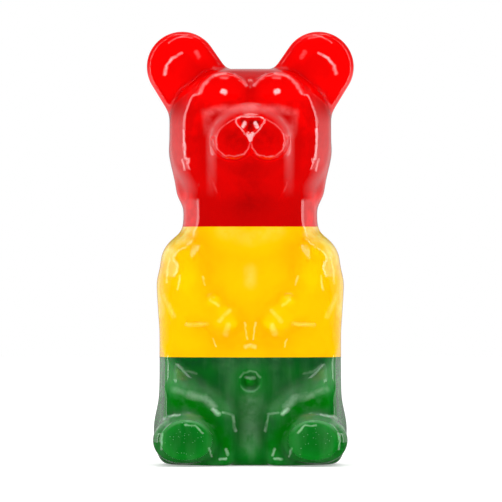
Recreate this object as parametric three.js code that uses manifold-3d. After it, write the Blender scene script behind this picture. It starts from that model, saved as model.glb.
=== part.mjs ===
// A giant sitting gummy bear, cast in three colours of gel that lie on each other as level layers.
// Millimetres, +Z up. The bear faces -Y and sits on the flat face of its green layer at Z = 0.
//
// The whole bear is one rounded form, so it is written as a distance: a shape is a function of
// (x, y, z) that is negative inside it. Shapes are joined and carved with soft blends, the surface
// where the distance is zero is meshed, and two level cuts make the three layers.

import * as THREE from "three";
import { mergeVertices } from "three/addons/utils/BufferGeometryUtils.js";
import Module from "manifold-3d";

const wasm = await Module();
wasm.setup();

// ---------------------------------------------------------------- driving dimensions

const HEIGHT = 241;
const WIDTH = 115.4;
const DEPTH = 109.4;

const RED_FROM = 132.2; // the red layer lies above this height
const YELLOW_FROM = 59.9; // the yellow layer lies above this height, the green one below it
const LAYER_GAP = 0.3;

const NECK_HALF_WIDTH = 37.3;
const HEAD_HALF_WIDTH = 45;
const HIP_HALF_WIDTH = 50.4;
const EAR_RADIUS = 19.7;
const EAR_CENTRE = { x: 38, z: HEIGHT - EAR_RADIUS };
const MOUTH_LINE = { halfWidth: 2.2, depth: 1.5 };
const NAVEL_RADIUS = 6.1;
const SOLE = { x: 35.4, z: 14.2, halfWidth: 18.4, halfHeight: 14.4, front: 108 };

const MESH_CELL = 1.3; // edge of a cell of the grid that the surface is first meshed on
const SURFACE_TRIANGLES = 16000; // what the whole surface is thinned out to before it is cut
const HEAD_TRIANGLES = 4800;
const BODY_TRIANGLES = 3200;
const LEGS_TRIANGLES = 3600;

// The y of a point that lies f in front of the back of the head.
const ahead = (f) => DEPTH / 2 - f;

// ---------------------------------------------------------------- shapes

function ellipsoid([cx, cy, cz], [rx, ry, rz]) {
  return (x, y, z) => {
    const u = (x - cx) / rx;
    const v = (y - cy) / ry;
    const w = (z - cz) / rz;
    const reach = Math.hypot(u, v, w);
    const slope = Math.hypot(u / rx, v / ry, w / rz) + 1e-9;
    return (reach * (reach - 1)) / slope;
  };
}

function roundedBlock([cx, cy, cz], [hx, hy, hz], round) {
  return (x, y, z) => {
    const qx = Math.abs(x - cx) - hx + round;
    const qy = Math.abs(y - cy) - hy + round;
    const qz = Math.abs(z - cz) - hz + round;
    const outside = Math.hypot(Math.max(qx, 0), Math.max(qy, 0), Math.max(qz, 0));
    return outside + Math.min(Math.max(qx, qy, qz), 0) - round;
  };
}

// A limb with round ends, whose radius changes evenly from one end to the other. Its section is
// stretched front to back by the factor deep.
function limb([ax, ay, az], [bx, by, bz], startRadius, endRadius, deep = 1) {
  const dx = bx - ax;
  const dy = (by - ay) / deep;
  const dz = bz - az;
  const lengthSquared = dx * dx + dy * dy + dz * dz;
  return (x, y, z) => {
    const px = x - ax;
    const py = (y - ay) / deep;
    const pz = z - az;
    const along = (px * dx + py * dy + pz * dz) / lengthSquared;
    const t = Math.min(Math.max(along, 0), 1);
    const fromAxis = Math.hypot(px - t * dx, py - t * dy, pz - t * dz);
    return fromAxis - startRadius - t * (endRadius - startRadius);
  };
}

// The lower of two distances, with their crease filled over a width of about blend.
function softMin(a, b, blend) {
  const h = Math.max(blend - Math.abs(a - b), 0) / blend;
  return Math.min(a, b) - (h * h * h * blend) / 6;
}

const join = (shape, other, blend) => (x, y, z) => softMin(shape(x, y, z), other(x, y, z), blend);
const common = (shape, other, blend) => (x, y, z) => -softMin(-shape(x, y, z), -other(x, y, z), blend);
const carve = (shape, tool, blend) => (x, y, z) => -softMin(-shape(x, y, z), tool(x, y, z), blend);
const pair = (shape) => (x, y, z) => shape(Math.abs(x), y, z);

// Draws a smooth groove along a line, which is given as the distance from it.
const groove = (shape, line, { halfWidth, depth }) => (x, y, z) => {
  const across = Math.min(Math.max(line(x, y, z), 0) / halfWidth, 1);
  return shape(x, y, z) + depth * (1 - across ** 2) ** 2;
};

// ---------------------------------------------------------------- the bear's form

function trunk() {
  const lean = 0.1; // the seat stands a little further forward than the back above it
  const upright = roundedBlock([0, ahead(43.5), 50], [HIP_HALF_WIDTH, 40.5, 66], 26);
  const hips = (x, y, z) => upright(x, y + (40 - softMin(z, 78, 40)) * lean, z);
  const chest = roundedBlock([0, ahead(41.5), 98], [42.6, 40.5, 35], 35);
  const neck = roundedBlock([0, ahead(42), 150], [NECK_HALF_WIDTH, 38.5, 60], 36);
  return join(join(hips, chest, 10), neck, 8);
}

function addHead(body) {
  const skull = roundedBlock([0, ahead(40), 183.3], [HEAD_HALF_WIDTH, 39.5, 36.8], 31);
  const face = roundedBlock([0, ahead(61), 183.5], [35, 17, 32.5], 15);
  const cheek = limb([31, ahead(44), 172], [28.3, ahead(43), 154.5], 12.6, 13);
  const head = join(join(body, skull, 13), face, 9);
  return join(head, pair(cheek), 6);
}

function addEars(body) {
  const thickness = 0.72; // of the ear's radius, on each side of its middle
  const middle = 34;
  const top = [EAR_CENTRE.x, ahead(middle), EAR_CENTRE.z];
  const root = [22.8, ahead(middle), 198];
  const ear = limb(top, root, EAR_RADIUS, EAR_RADIUS + 0.8, thickness);
  const dishDepth = 2.6;
  const dish = { radius: 12.5, deep: 7.2 };
  const front = middle + EAR_RADIUS * thickness;
  const dishMiddle = [EAR_CENTRE.x + 0.5, ahead(front + dish.deep - dishDepth), EAR_CENTRE.z];
  const whole = join(body, pair((x, y, z) => thickness * ear(x, y, z)), 5);
  return carve(whole, pair(ellipsoid(dishMiddle, [dish.radius, dish.deep, dish.radius])), 3);
}

// A round muzzle over a jaw; the sides of both slope in toward the front.
function addMuzzle(body) {
  const pad = { x: 9.4, z: 180.3, radius: 10.5 };
  const middle = { z: 179.5, radius: 24.3, from: 79, slopeIn: 0.65 };
  const cap = ellipsoid([0, ahead(70), middle.z], [40, 24, 34]);
  const jaw = roundedBlock([0, ahead(70), 163], [24, 20, 27], 14);
  const pads = pair(ellipsoid([pad.x, ahead(85), pad.z], [pad.radius, 9.3, pad.radius]));
  const within = (reach, y) =>
    (reach - middle.radius + Math.max(ahead(middle.from) - y, 0) * middle.slopeIn) * 0.84;
  const dome = (x, y, z) => {
    const roundSide = within(Math.hypot(x, (z - middle.z) * 1.17), y);
    return -softMin(-roundSide, -cap(x, y, z), 5);
  };

  // The jaw leans back below the mouth, so that the chin runs into the throat.
  const leaning = (x, y, z) => {
    const front = jaw(x, y + (z - 177) * 0.15 - 0.011 * Math.max(176 - z, 0) ** 2, z);
    return -softMin(-within(Math.abs(x), y), -front, 5);
  };
  const muzzle = join(join(join(body, leaning, 4), dome, 3), pads, 3);

  // A groove along the lower half of each pad's edge, and a short one straight down from the nose.
  const inFront = (y) => y - ahead(74);
  const mouth = (x, y, z) => {
    const edge = Math.abs(Math.hypot(Math.abs(x) - pad.x, z - pad.z) - pad.radius - 0.8);
    return Math.max(edge, z - 181, inFront(y));
  };
  const philtrum = (x, y, z) => Math.max(Math.abs(x), Math.abs(z - 177) - 4, inFront(y));
  return groove(groove(muzzle, mouth, MOUTH_LINE), philtrum, MOUTH_LINE);
}

function addNose(body) {
  const top = 193.6;
  const tip = 183.2;
  const halfWidth = 8.4;
  const front = 97;
  const back = 80;
  const sideSlope = new THREE.Vector2(0.659, -0.753);
  const outline = (x, z) => {
    const side = (Math.hypot(x, 1.4) - 0.4) * sideSlope.x + (z - tip) * sideSlope.y;
    const triangle = -softMin(top - z, -side, 5);
    return -softMin(-triangle, halfWidth - Math.abs(x), 4);
  };
  const thickness = (y) => Math.max(ahead(front) - y, y - ahead(back));
  const button = (x, y, z) => -softMin(-outline(x, z), -thickness(y), 4);
  const nostril = pair(ellipsoid([3.8, ahead(front + 1.2), 188.8], [2.4, 2.6, 2.5]));
  return carve(join(body, button, 1.5), nostril, 1.2);
}

function addBrows(body) {
  const dome = ellipsoid([15.2, ahead(74), 207], [14, 9.2, 11]);
  const brow = common(dome, (x, y, z) => 201.5 - z, 7);
  return join(body, pair(brow), 3);
}

function addArms(body) {
  const deep = 1.7;
  const shoulder = [33.4, ahead(50), 112];
  const elbow = [35.1, ahead(52), 102];
  const cuff = [33.2, ahead(52), 88];
  const upper = limb(shoulder, elbow, 16.4, 15.7, deep);
  const lower = limb(elbow, cuff, 15.7, 14.6, deep);
  const forearm = ellipsoid([32.8, ahead(72), 102], [9.2, 12, 12.5]);
  const hand = limb([25, ahead(73), 89], [15.5, ahead(78), 81.5], 11, 9.5);
  const knuckles = [
    [20.3, 90.5],
    [15.5, 85.5],
    [11.8, 79],
  ];
  let arms = join(body, pair(join(upper, lower, 2)), 12);
  arms = join(arms, pair(forearm), 3);
  arms = join(arms, pair(hand), 8);
  for (const [x, z] of knuckles) {
    arms = join(arms, pair(ellipsoid([x, ahead(83.4), z], [5, 4, 4])), 3);
  }
  const hollow = limb([0, ahead(83.6), 79], [0, ahead(85.6), 70], 2.2, 4.6);
  return carve(arms, hollow, 1);
}

function addBelly(body) {
  const navelHeight = 47;
  const navelFloor = 88.5;
  const belly = ellipsoid([0, ahead(62), 44], [34, 30, 30]);
  const navel = (x, y, z) => {
    const fromMiddle = Math.hypot(x, z - navelHeight);
    const crownedFloor = y - ahead(navelFloor) + 0.06 * fromMiddle ** 2;
    return -softMin(NAVEL_RADIUS - fromMiddle, -crownedFloor, 2);
  };
  const button = ellipsoid([0, ahead(navelFloor - 0.4), navelHeight], [3.3, 2.2, 3.3]);
  return join(carve(join(body, belly, 9), navel, 1.6), button, 0.8);
}

function addLegs(body) {
  const thigh = ellipsoid([34, ahead(60), 38], [13.4, 27, 17]);

  // The lap slopes down toward the middle and steeply toward the front.
  const block = roundedBlock([27.9, ahead(62), 14], [19.6, 32, 23], 8);
  const shin = (x, y, z) => block(x, y, z - (x - 30) * 0.36 + Math.min(ahead(94) - y, 0));
  const hip = ellipsoid([34, ahead(54), 19], [19.4, 45, 24]);

  // Each foot is a rod of oval section, rounded off at the front.
  const flatten = SOLE.halfHeight / SOLE.halfWidth;
  const rod = limb([SOLE.x - 0.8, ahead(70), 0], [SOLE.x, ahead(91.6), 0], 17, SOLE.halfWidth);
  const ankle = (x, y, z) => rod(x, y, (z - SOLE.z) / flatten) * flatten;
  const foot = common(ankle, (x, y, z) => ahead(SOLE.front + 0.2) - y, 7);

  // A low oval disc with a sloping edge lies on each sole.
  const disc = { halfWidth: 13.4, halfHeight: 10.7, back: 90, edgeDepth: 1.6 };
  const tread = (x, y, z) => {
    const u = (x - SOLE.x + 0.2) / disc.halfWidth;
    const w = (z - SOLE.z - 0.2) / disc.halfHeight;
    const edge = (Math.hypot(u, w) - 1) * disc.halfHeight;
    const rise = y - ahead(SOLE.front);
    const sloped = (edge - Math.min(rise, disc.edgeDepth)) * Math.SQRT1_2 + 0.6;
    return -softMin(-sloped, Math.min(rise, ahead(disc.back) - y), 1);
  };
  let legs = join(body, pair(thigh), 7);
  legs = join(legs, pair(shin), 5);
  legs = join(legs, pair(hip), 8);
  legs = join(legs, pair(foot), 4);
  return join(legs, pair(tread), 0.8);
}

function bearForm() {
  const seatRounding = 8;
  const belowSeat = 0.5; // the rounded form runs on a little, and the green layer's cut makes it flat
  let bear = addHead(trunk());
  bear = addEars(bear);
  bear = addMuzzle(bear);
  bear = addNose(bear);
  bear = addBrows(bear);
  bear = addArms(bear);
  bear = addBelly(bear);
  bear = addLegs(bear);
  return common(bear, (x, y, z) => -belowSeat - z, seatRounding);
}

// ---------------------------------------------------------------- meshing

// Moves a point onto the surface along the slope of the distance.
function settle(shape, point) {
  const step = 0.02;
  for (let turn = 0; turn < 4; turn++) {
    const [x, y, z] = point;
    const distance = shape(x, y, z);
    const slope = [
      (shape(x + step, y, z) - shape(x - step, y, z)) / (2 * step),
      (shape(x, y + step, z) - shape(x, y - step, z)) / (2 * step),
      (shape(x, y, z + step) - shape(x, y, z - step)) / (2 * step),
    ];
    const steepness = Math.max(slope[0] ** 2 + slope[1] ** 2 + slope[2] ** 2, 0.05);
    const move = Math.max(Math.min(distance / steepness, MESH_CELL / 4), -MESH_CELL / 4);
    for (let axis = 0; axis < 3; axis++) point[axis] -= slope[axis] * move;
  }
  return point;
}

// A closed mesh of the surface where the shape's distance is zero: one point in each cell of the
// grid that the surface crosses, and one four-sided face round each grid edge that it crosses.
function surfaceOf(shape) {
  const margin = 3;
  const low = [-WIDTH / 2 - margin, -DEPTH / 2 - margin, -margin];
  const counts = [WIDTH, DEPTH, HEIGHT].map((side) => Math.ceil((side + 2 * margin) / MESH_CELL) + 1);
  const strides = [1, counts[0], counts[0] * counts[1]];
  const values = new Float64Array(counts[0] * counts[1] * counts[2]);
  const place = (axis, index) => low[axis] + (index + 0.5) * MESH_CELL;
  let node = 0;
  for (let k = 0; k < counts[2]; k++) {
    for (let j = 0; j < counts[1]; j++) {
      for (let i = 0; i < counts[0]; i++) {
        values[node] = shape(place(0, i), place(1, j), place(2, k));
        node += 1;
      }
    }
  }

  const points = [];
  const pointOfCell = new Int32Array(values.length).fill(-1);
  const corners = [0, 1, 2, 3, 4, 5, 6, 7].map((c) => [c & 1, (c >> 1) & 1, c >> 2]);
  const edges = [];
  for (let a = 0; a < 8; a++) {
    for (const bit of [1, 2, 4]) {
      if (!(a & bit)) edges.push([a, a | bit]);
    }
  }
  for (let k = 0; k + 1 < counts[2]; k++) {
    for (let j = 0; j + 1 < counts[1]; j++) {
      for (let i = 0; i + 1 < counts[0]; i++) {
        const cell = i * strides[0] + j * strides[1] + k * strides[2];
        const cornerValue = (c) =>
          values[cell + corners[c][0] * strides[0] + corners[c][1] * strides[1] + corners[c][2] * strides[2]];
        const sum = [0, 0, 0];
        let crossings = 0;
        for (const [a, b] of edges) {
          const va = cornerValue(a);
          const vb = cornerValue(b);
          if (va < 0 === vb < 0) continue;
          const t = va / (va - vb);
          for (let axis = 0; axis < 3; axis++) {
            sum[axis] += corners[a][axis] + t * (corners[b][axis] - corners[a][axis]);
          }
          crossings += 1;
        }
        if (!crossings) continue;
        pointOfCell[cell] = points.length;
        const at = [i, j, k].map((index, axis) => place(axis, index) + (sum[axis] / crossings) * MESH_CELL);
        points.push(settle(shape, at));
      }
    }
  }

  const triangles = [];
  for (let k = 1; k + 1 < counts[2]; k++) {
    for (let j = 1; j + 1 < counts[1]; j++) {
      for (let i = 1; i + 1 < counts[0]; i++) {
        const here = i * strides[0] + j * strides[1] + k * strides[2];
        for (let axis = 0; axis < 3; axis++) {
          const inside = values[here] < 0;
          if (inside === values[here + strides[axis]] < 0) continue;
          const u = strides[(axis + 1) % 3];
          const v = strides[(axis + 2) % 3];
          const ring = [here - u - v, here - v, here, here - u].map((cell) => pointOfCell[cell]);
          const [a, b, c, d] = inside ? ring : ring.reverse();
          triangles.push([a, b, c], [a, c, d]);
        }
      }
    }
  }
  return { points, triangles };
}

// A heap of [cost, a, b, age] entries with the lowest cost on top.
class Queue {
  entries = [];

  push(entry) {
    const heap = this.entries;
    let at = heap.length;
    while (at > 0) {
      const parent = (at - 1) >> 1;
      if (heap[parent][0] <= entry[0]) break;
      heap[at] = heap[parent];
      at = parent;
    }
    heap[at] = entry;
  }

  pop() {
    const heap = this.entries;
    const top = heap[0];
    const last = heap.pop();
    if (!heap.length) return top;
    let at = 0;
    for (;;) {
      let child = 2 * at + 1;
      if (child >= heap.length) break;
      if (child + 1 < heap.length && heap[child + 1][0] < heap[child][0]) child += 1;
      if (heap[child][0] >= last[0]) break;
      heap[at] = heap[child];
      at = child;
    }
    heap[at] = last;
    return top;
  }
}

const minus = (a, b) => [a[0] - b[0], a[1] - b[1], a[2] - b[2]];
const cross = (a, b) => [a[1] * b[2] - a[2] * b[1], a[2] * b[0] - a[0] * b[2], a[0] * b[1] - a[1] * b[0]];
const dot = (a, b) => a[0] * b[0] + a[1] * b[1] + a[2] * b[2];

// Thins a closed mesh out to a number of triangles. Each turn closes up the edge whose loss moves
// the surface least, measured by the squared distances to the planes of the faces round it.
function thinOut({ points, triangles }, wanted) {
  const flatness = 0.2; // a face may turn by no more than about 78 degrees in one turn
  const slimness = 0.08; // twice a face's area over the square of its longest side
  const facesOf = points.map(() => new Set());
  const planes = points.map(() => new Float64Array(10));
  const ages = new Int32Array(points.length);
  triangles.forEach((triangle, face) => {
    const [a, b, c] = triangle.map((index) => points[index]);
    const normal = cross(minus(b, a), minus(c, a));
    const area = Math.hypot(...normal) || 1e-12;
    const [nx, ny, nz] = normal.map((part) => part / area);
    const offset = -dot([nx, ny, nz], a);
    const terms = [nx, ny, nz, offset];
    for (const index of triangle) {
      facesOf[index].add(face);
      let slot = 0;
      for (let i = 0; i < 4; i++) {
        for (let j = i; j < 4; j++) {
          planes[index][slot] += area * terms[i] * terms[j];
          slot += 1;
        }
      }
    }
  });

  const neighboursOf = (index) => {
    const found = new Set();
    for (const face of facesOf[index]) {
      for (const other of triangles[face]) if (other !== index) found.add(other);
    }
    return found;
  };

  // The best point for a closed-up edge, and what it costs.
  const meeting = (a, b) => {
    const q = planes[a].map((value, slot) => value + planes[b][slot]);
    const cost = ([x, y, z]) =>
      q[0] * x * x + q[4] * y * y + q[7] * z * z + q[9] +
      2 * (q[1] * x * y + q[2] * x * z + q[3] * x + q[5] * y * z + q[6] * y + q[8] * z);
    const middle = points[a].map((value, axis) => (value + points[b][axis]) / 2);
    const choices = [middle];
    const rows = new THREE.Matrix3().set(q[0], q[1], q[2], q[1], q[4], q[5], q[2], q[5], q[7]);
    const size = q[0] + q[4] + q[7];
    if (Math.abs(rows.determinant()) > 1e-4 * size ** 3) {
      const best = new THREE.Vector3(-q[3], -q[6], -q[8]).applyMatrix3(rows.invert()).toArray();
      if (Math.hypot(...minus(best, middle)) < Math.hypot(...minus(points[a], points[b]))) choices.push(best);
    }
    const at = choices[choices.length - 1];
    const length = dot(minus(points[a], points[b]), minus(points[a], points[b]));
    return { at, cost: cost(at) + 1e-4 * length };
  };

  const queue = new Queue();
  const offer = (a, b) => queue.push([meeting(a, b).cost, a, b, ages[a] + ages[b]]);
  points.forEach((_, index) => {
    for (const other of neighboursOf(index)) if (index < other) offer(index, other);
  });

  const normalOf = ([a, b, c]) => cross(minus(b, a), minus(c, a));
  const squareOf = (a, b) => dot(minus(a, b), minus(a, b));
  const shapeliness = ([a, b, c]) =>
    Math.hypot(...normalOf([a, b, c])) / (Math.max(squareOf(a, b), squareOf(b, c), squareOf(c, a)) + 1e-12);
  const staysSound = (index, gone, at) => {
    for (const face of facesOf[index]) {
      const triangle = triangles[face];
      if (triangle.includes(gone)) continue;
      const before = triangle.map((corner) => points[corner]);
      const after = triangle.map((corner) => (corner === index ? at : points[corner]));
      const oldNormal = normalOf(before);
      const newNormal = normalOf(after);
      const least = flatness * Math.hypot(...oldNormal) * Math.hypot(...newNormal);
      if (dot(oldNormal, newNormal) < least) return false;
      if (shapeliness(after) < Math.min(slimness, shapeliness(before))) return false;
    }
    return true;
  };

  let left = triangles.length;
  while (left > wanted && queue.entries.length) {
    const [, a, b, age] = queue.pop();
    if (!facesOf[a] || !facesOf[b] || ages[a] + ages[b] !== age) continue;
    const nearA = neighboursOf(a);
    if (!nearA.has(b)) continue;
    const shared = [...neighboursOf(b)].filter((index) => nearA.has(index));
    if (shared.length !== 2) continue;
    const { at } = meeting(a, b);
    if (!staysSound(a, b, at) || !staysSound(b, a, at)) continue;
    for (const face of facesOf[b]) {
      if (triangles[face].includes(a)) {
        for (const index of triangles[face]) if (index !== b) facesOf[index].delete(face);
        triangles[face] = null;
        left -= 1;
      } else {
        triangles[face] = triangles[face].map((index) => (index === b ? a : index));
        facesOf[a].add(face);
      }
    }
    planes[b].forEach((value, slot) => (planes[a][slot] += value));
    points[a] = at;
    facesOf[b] = null;
    ages[a] += 1;
    for (const other of neighboursOf(a)) offer(a, other);
  }
  return { points, triangles: triangles.filter(Boolean) };
}

// ---------------------------------------------------------------- solids and layers

function solidOf(geometry) {
  const bare = geometry.clone().deleteAttribute("normal").deleteAttribute("uv");
  const merged = mergeVertices(bare, 1e-4);
  return new wasm.Manifold(
    new wasm.Mesh({
      numProp: 3,
      vertProperties: new Float32Array(merged.attributes.position.array),
      triVerts: new Uint32Array(merged.index.array),
    }),
  );
}

function geometryOf(solid) {
  const { vertProperties, triVerts } = solid.getMesh();
  const geometry = new THREE.BufferGeometry();
  geometry.setAttribute("position", new THREE.BufferAttribute(new Float32Array(vertProperties), 3));
  geometry.setIndex(new THREE.BufferAttribute(new Uint32Array(triVerts), 1));
  geometry.computeVertexNormals();
  return geometry;
}

function solidOfMesh({ points, triangles }) {
  const geometry = new THREE.BufferGeometry();
  geometry.setAttribute("position", new THREE.Float32BufferAttribute(points.flat(), 3));
  geometry.setIndex(triangles.flat());
  return solidOf(geometry);
}

function meshOfSolid(solid) {
  const { vertProperties, triVerts } = solid.getMesh();
  const points = [];
  const triangles = [];
  for (let i = 0; i < vertProperties.length; i += 3) points.push([...vertProperties.subarray(i, i + 3)]);
  for (let i = 0; i < triVerts.length; i += 3) triangles.push([...triVerts.subarray(i, i + 3)]);
  return { points, triangles };
}

// The bear's surface, moved so that its box is centred on the Z axis.
function bearSurface() {
  const surface = thinOut(surfaceOf(bearForm()), SURFACE_TRIANGLES);
  const used = new Set(surface.triangles.flat());
  for (const axis of [0, 1]) {
    let low = Infinity;
    let high = -Infinity;
    for (const index of used) {
      low = Math.min(low, surface.points[index][axis]);
      high = Math.max(high, surface.points[index][axis]);
    }
    for (const point of surface.points) point[axis] -= (low + high) / 2;
  }
  return surface;
}

// One colour of the bear, between two heights, with level faces where it was cut.
function layer(solid, from, to, triangleCount) {
  const slab = new THREE.BoxGeometry(2 * WIDTH, 2 * DEPTH, to - from);
  slab.translate(0, 0, (from + to) / 2);
  const mesh = thinOut(meshOfSolid(solid.intersect(solidOf(slab))), triangleCount);
  const level = 0.02;
  for (const point of mesh.points) {
    if (Math.abs(point[2] - from) < level) point[2] = from;
    if (Math.abs(point[2] - to) < level) point[2] = to;
  }
  return geometryOf(solidOfMesh(mesh));
}

const redFrom = RED_FROM + LAYER_GAP / 2;
const yellowTo = RED_FROM - LAYER_GAP / 2;
const yellowFrom = YELLOW_FROM + LAYER_GAP / 2;
const greenTo = YELLOW_FROM - LAYER_GAP / 2;
const layers = [
  { name: "head_red_layer", from: redFrom, to: 2 * HEIGHT, count: HEAD_TRIANGLES, color: "#e0000c" },
  { name: "body_yellow_layer", from: yellowFrom, to: yellowTo, count: BODY_TRIANGLES, color: "#ffc800" },
  { name: "legs_green_layer", from: 0, to: greenTo, count: LEGS_TRIANGLES, color: "#0b7321" },
];

const bear = solidOfMesh(bearSurface());
const group = new THREE.Group();
for (const { name, from, to, count, color } of layers) {
  const gel = new THREE.MeshStandardMaterial({ color, roughness: 0.12, metalness: 0 });
  const mesh = new THREE.Mesh(layer(bear, from, to, count), gel);
  mesh.name = name;
  group.add(mesh);
}

export default group;
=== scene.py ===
import math

import bmesh
import bpy
import numpy as np
from bpy.props import FloatProperty, FloatVectorProperty, IntProperty, PointerProperty
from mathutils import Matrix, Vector


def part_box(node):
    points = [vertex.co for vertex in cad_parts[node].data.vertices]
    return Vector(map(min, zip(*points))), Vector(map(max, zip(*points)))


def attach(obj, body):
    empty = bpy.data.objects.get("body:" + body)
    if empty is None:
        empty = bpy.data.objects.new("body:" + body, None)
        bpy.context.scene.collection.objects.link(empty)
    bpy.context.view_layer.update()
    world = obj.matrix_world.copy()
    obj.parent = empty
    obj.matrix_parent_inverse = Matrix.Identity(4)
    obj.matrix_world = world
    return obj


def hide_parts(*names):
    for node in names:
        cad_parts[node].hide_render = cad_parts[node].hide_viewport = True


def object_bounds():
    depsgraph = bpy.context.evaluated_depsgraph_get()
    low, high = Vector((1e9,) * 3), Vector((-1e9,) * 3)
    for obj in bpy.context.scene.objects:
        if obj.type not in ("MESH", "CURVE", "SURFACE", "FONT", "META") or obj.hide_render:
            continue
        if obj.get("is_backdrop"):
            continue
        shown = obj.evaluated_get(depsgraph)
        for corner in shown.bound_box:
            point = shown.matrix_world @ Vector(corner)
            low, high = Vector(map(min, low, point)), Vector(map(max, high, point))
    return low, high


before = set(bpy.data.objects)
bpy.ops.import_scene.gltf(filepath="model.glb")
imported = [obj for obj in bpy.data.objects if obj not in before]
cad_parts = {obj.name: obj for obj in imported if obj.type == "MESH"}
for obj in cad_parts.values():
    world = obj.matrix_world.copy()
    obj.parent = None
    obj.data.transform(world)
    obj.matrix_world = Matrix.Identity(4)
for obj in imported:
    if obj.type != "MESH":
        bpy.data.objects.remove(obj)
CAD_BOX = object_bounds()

bl_info = {
    "name": "Layered Gummy Bear",
    "version": (1, 0, 0),
    "blender": (4, 5, 0),
    "location": "3D View > Sidebar > Gummy Bear",
    "description": "Casts a giant gummy bear in three layers of coloured gel",
    "category": "Add Mesh",
}

MM = 0.001
BODY = "root"
LAYER_NODES = ("head_red_layer", "body_yellow_layer", "legs_green_layer")
# What is measured at each point of the skin, as shares from 0 to 1. Two of them place a painted pale
# sheen, a painted reflection: on faces that look up near an edge, and round the muzzle.
SHARES = ("thin", "crease", "upward_sheen", "muzzle_sheen", "sole")


def linear(text):
    """A colour's linear values from its sRGB hex."""
    parts = [int(text[i : i + 2], 16) / 255 for i in (1, 3, 5)]
    return [p / 12.92 if p <= 0.04045 else ((p + 0.055) / 1.055) ** 2.4 for p in parts]


def layer_edge(upper, lower):
    """The height halfway between the faces of two neighbouring layers."""
    return (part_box(upper)[0][2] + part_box(lower)[1][2]) / 2


# ---------------- settings


# Marks painted on the front, the same on the left and right: painted light where the gel is drawn clear
# and bright, painted shade where it is drawn deep, and painted highlights and painted reflections where it
# is drawn pale. A row is a line's half width, its strength, and its points (x, z), in millimetres.
RED_PAINTED_LIGHT = (
    # painted light: brighter red below the brows, down the cheeks and neck, and at the ears' roots, where
    # shade falls
    (7, 0.6, (0, 201), (26, 199)),
    (9, 0.5, (26, 199), (33, 186)),
    (9, 0.25, (33, 186), (32, 168)),
    (7, 0.25, (43, 190), (41, 165)),
    (7, 0.7, (36, 148), (34, 134)),
    (12, 0.6, (38, 212), (30, 205)),
)
RED_PAINTED_SHADE = (
    # painted shade: darker red on the throat, inside the nose, and on the pads of the muzzle
    (18, 0.33, (0, 160), (0, 149)),
    (4.6, 1.0, (0, 190), (4.0, 190)),
    (3.4, 1.0, (0, 187.5), (0.6, 185.6)),
    (11.0, 0.5, (9.3, 181), (9.6, 181)),
)
RED_PAINTED_HIGHLIGHTS = (
    # painted highlights: glints on the eyes, the nostrils and the tip of the nose
    (1.9, 2.0, (14.0, 206.6), (15.4, 206.9)),
    (1.5, 2.0, (2.9, 189.2), (3.9, 187.2)),
    (1.2, 2.0, (1.4, 183.4), (0.0, 180.0)),
    (1.2, 2.0, (0.0, 182.8), (0.0, 180.0)),
    # painted highlights and painted reflections round the nose, the brows and the mouth
    (0.7, 0.9, (0, 192.8), (5.2, 193.0), (7.8, 191.7), (7.8, 189.6), (5.3, 186.2), (2.2, 183.2),
     (0, 179.8)),
    (1.3, 0.42, (27.9, 206.2), (25.6, 211), (20.5, 215.6), (14, 217.3)),
    (1.3, 0.35, (8.5, 216.6), (4.5, 213.6), (2.2, 210.2)),
    (3.5, 0.16, (0, 197.5), (15, 197.5), (24.5, 195)),
    (4.0, 0.1, (24.5, 195), (23, 184)),
    (0.7, 0.22, (0, 179), (1.2, 175.6), (3.8, 172.4), (8.3, 170.8), (13.5, 171.3), (18, 174.5),
     (21.3, 181)),
    # painted highlights at the jaw's corner and on the ears
    (1.0, 0.6, (37.0, 186), (36.5, 176), (36.2, 170), (34.2, 169.6), (34.5, 168)),
    (1.0, 0.7, (37.8, 169.4), (36.5, 163.5)),
    (0.7, 0.4, (45.5, 234.6), (40.5, 238), (35, 239)),
    (1.2, 1.1, (46.9, 221.8), (43.4, 226.2), (38.1, 228.8)),
    (1.7, 0.9, (46.6, 221.5), (47.6, 217.5)),
    (1.8, 0.25, (30.3, 229.5), (28.5, 226.5)),
)
YELLOW_PAINTED_HIGHLIGHTS = (
    # painted reflections and a painted highlight on the shoulders and flanks
    (8.0, 0.85, (36, 129), (44, 125), (51, 115)),
    (5.0, 0.5, (53, 112), (51.5, 84)),
    (0.9, 0.6, (44.6, 115), (46.2, 108), (46.5, 101)),
    # painted highlights on the arms and paws
    (0.9, 0.55, (38.9, 105), (40.2, 97.5)),
    (0.8, 0.5, (26.3, 104.6), (24.9, 99.8)),
    (2.2, 0.3, (48.4, 94), (42.5, 82.5)),
    (1.3, 0.38, (21.8, 91.6), (17.6, 88.8)),
    (1.8, 0.26, (11.7, 85.6), (17.2, 80.0)),
    (2.4, 0.32, (12.2, 77.4), (13.5, 73.0)),
    (1.8, 0.25, (23.4, 78.4), (34.7, 77.7)),
    (0.7, 0.6, (20.4, 70.3), (19, 65.7)),
    # painted highlights and painted reflections on the chest and belly
    (5.2, 0.2, (0, 108), (0, 101)),
    (7.0, 0.1, (0, 126), (15, 130)),
    (0.8, 0.55, (3.1, 79), (1.7, 70)),
    (1.6, 0.6, (0, 66.4), (2.6, 65.6)),
)
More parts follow.
